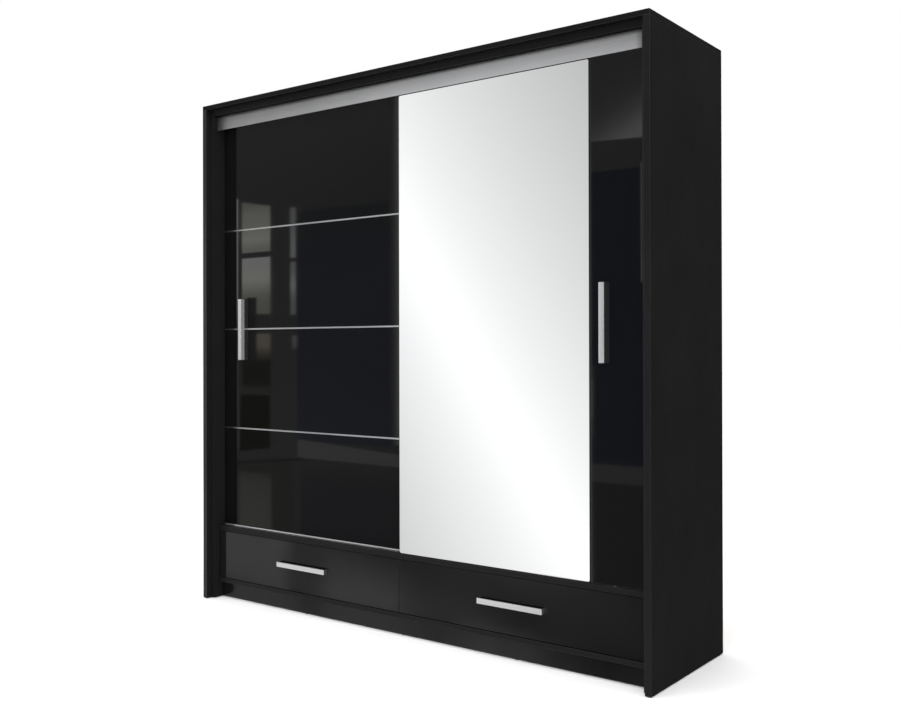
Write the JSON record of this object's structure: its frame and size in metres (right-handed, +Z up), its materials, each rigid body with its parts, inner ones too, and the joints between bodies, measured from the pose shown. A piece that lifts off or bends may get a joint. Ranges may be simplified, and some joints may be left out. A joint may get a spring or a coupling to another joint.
{
  "type": "sliding door wardrobe",
  "caption": "Tall free-standing wardrobe with a mirrored sliding door and a black glass sliding door above wide pull-out drawers.",
  "frame": {"origin": "centre of the footprint at floor level", "axes": "+Z up, +X along the width towards the mirrored door's side, -Y is the front with the doors and drawers"},
  "size_m": [2.08, 0.6, 2.15],
  "materials": {
    "black_laminate": "fine-textured black melamine, satin",
    "drawer_front_black": "smooth satin black",
    "black_glass": "back-painted, polished",
    "silvered_mirror": "polished",
    "brushed_aluminium": "fine brushed, satin",
    "satin_handle_metal": "satin",
    "track_aluminium": "mill finish",
    "track_black": "black anodised",
    "zinc_steel": "zinc plated",
    "chrome_fittings": "polished",
    "black_plastic": "moulded, matte",
    "white_nylon": "moulded, satin",
    "back_hardboard": "raw hardboard outside, black inside",
    "drawer_bottom_hardboard": "matte black hardboard"
  },
  "bodies": {
    "carcass": {"outer_side_left": "black_laminate", "outer_side_right": "black_laminate", "top_board": "black_laminate", "inner_side_left": "black_laminate", "inner_side_right": "black_laminate", "carcass_top": "black_laminate", "wardrobe_floor": "black_laminate", "base_board": "black_laminate", "plinth_front": "black_laminate", "plinth_back": "black_laminate", "centre_partition": "black_laminate", "drawer_partition": "black_laminate", "back_sheet_left": "back_hardboard", "back_sheet_right": "back_hardboard", "back_joint_strip": "black_plastic", "pelmet": "brushed_aluminium", "top_track": "track_aluminium", "bottom_track": "track_black", "door_buffers": "black_plastic", "floor_glides": "black_plastic", "bay_shelves": "black_laminate", "hat_shelf": "black_laminate", "shelf_pins": "chrome_fittings", "hanging_rail": "chrome_fittings", "rail_sockets": "chrome_fittings", "cabinet_runners": "zinc_steel"},
    "front_door": {"front_door_board": "black_laminate", "mirror_panel": "silvered_mirror", "front_glass_strip": "black_glass", "front_door_handle": "satin_handle_metal", "front_roller_housings": "black_plastic", "front_top_guides": "black_plastic"},
    "rear_door": {"rear_door_board": "black_laminate", "rear_glass_1": "black_glass", "rear_glass_2": "black_glass", "rear_glass_3": "black_glass", "rear_glass_4": "black_glass", "rear_door_strips": "brushed_aluminium", "rear_door_trim": "brushed_aluminium", "rear_door_handle": "satin_handle_metal", "rear_roller_housings": "black_plastic", "rear_top_guides": "black_plastic"},
    "front_roller_left": {"front_roller_left": "white_nylon"},
    "front_roller_right": {"front_roller_right": "white_nylon"},
    "rear_roller_left": {"rear_roller_left": "white_nylon"},
    "rear_roller_right": {"rear_roller_right": "white_nylon"},
    "left_drawer": {"left_drawer_front": "drawer_front_black", "left_drawer_sides": "black_laminate", "left_drawer_back": "black_laminate", "left_drawer_bottom": "drawer_bottom_hardboard", "left_drawer_handle": "satin_handle_metal", "left_drawer_runners": "zinc_steel"},
    "left_middle_runners": {"left_middle_runners": "zinc_steel"},
    "right_drawer": {"right_drawer_front": "drawer_front_black", "right_drawer_sides": "black_laminate", "right_drawer_back": "black_laminate", "right_drawer_bottom": "drawer_bottom_hardboard", "right_drawer_handle": "satin_handle_metal", "right_drawer_runners": "zinc_steel"},
    "right_middle_runners": {"right_middle_runners": "zinc_steel"}
  },
  "joints": [
    {"name": "front_door_slide", "type": "slide", "parent": "carcass", "child": "front_door", "axis": [1, 0, 0], "range_m": [-0.97, 0]},
    {"name": "rear_door_slide", "type": "slide", "parent": "carcass", "child": "rear_door", "axis": [1, 0, 0], "range_m": [0, 0.97]},
    {"name": "front_roller_left_turn", "type": "hinge", "parent": "front_door", "child": "front_roller_left", "pos_m": [0.112, -0.237, 0.3278], "axis": [0, 1, 0], "continuous": true},
    {"name": "front_roller_right_turn", "type": "hinge", "parent": "front_door", "child": "front_roller_right", "pos_m": [0.8885, -0.237, 0.3278], "axis": [0, 1, 0], "continuous": true},
    {"name": "rear_roller_left_turn", "type": "hinge", "parent": "rear_door", "child": "rear_roller_left", "pos_m": [-0.8885, -0.201, 0.3278], "axis": [0, 1, 0], "continuous": true},
    {"name": "rear_roller_right_turn", "type": "hinge", "parent": "rear_door", "child": "rear_roller_right", "pos_m": [-0.086, -0.201, 0.3278], "axis": [0, 1, 0], "continuous": true},
    {"name": "left_drawer_slide", "type": "slide", "parent": "carcass", "child": "left_drawer", "axis": [0, -1, 0], "range_m": [0, 0.38]},
    {"name": "left_middle_slide", "type": "slide", "parent": "carcass", "child": "left_middle_runners", "axis": [0, -1, 0], "range_m": [0, 0.19]},
    {"name": "right_drawer_slide", "type": "slide", "parent": "carcass", "child": "right_drawer", "axis": [0, -1, 0], "range_m": [0, 0.38]},
    {"name": "right_middle_slide", "type": "slide", "parent": "carcass", "child": "right_middle_runners", "axis": [0, -1, 0], "range_m": [0, 0.19]}
  ],
  "couplings": [
    {"joint": "front_roller_left_turn", "follows": "front_door_slide", "rad_per_m": 100},
    {"joint": "front_roller_right_turn", "follows": "front_door_slide", "rad_per_m": 100},
    {"joint": "rear_roller_left_turn", "follows": "rear_door_slide", "rad_per_m": 100},
    {"joint": "rear_roller_right_turn", "follows": "rear_door_slide", "rad_per_m": 100},
    {"joint": "left_middle_slide", "follows": "left_drawer_slide", "ratio": 0.5},
    {"joint": "right_middle_slide", "follows": "right_drawer_slide", "ratio": 0.5}
  ]
}
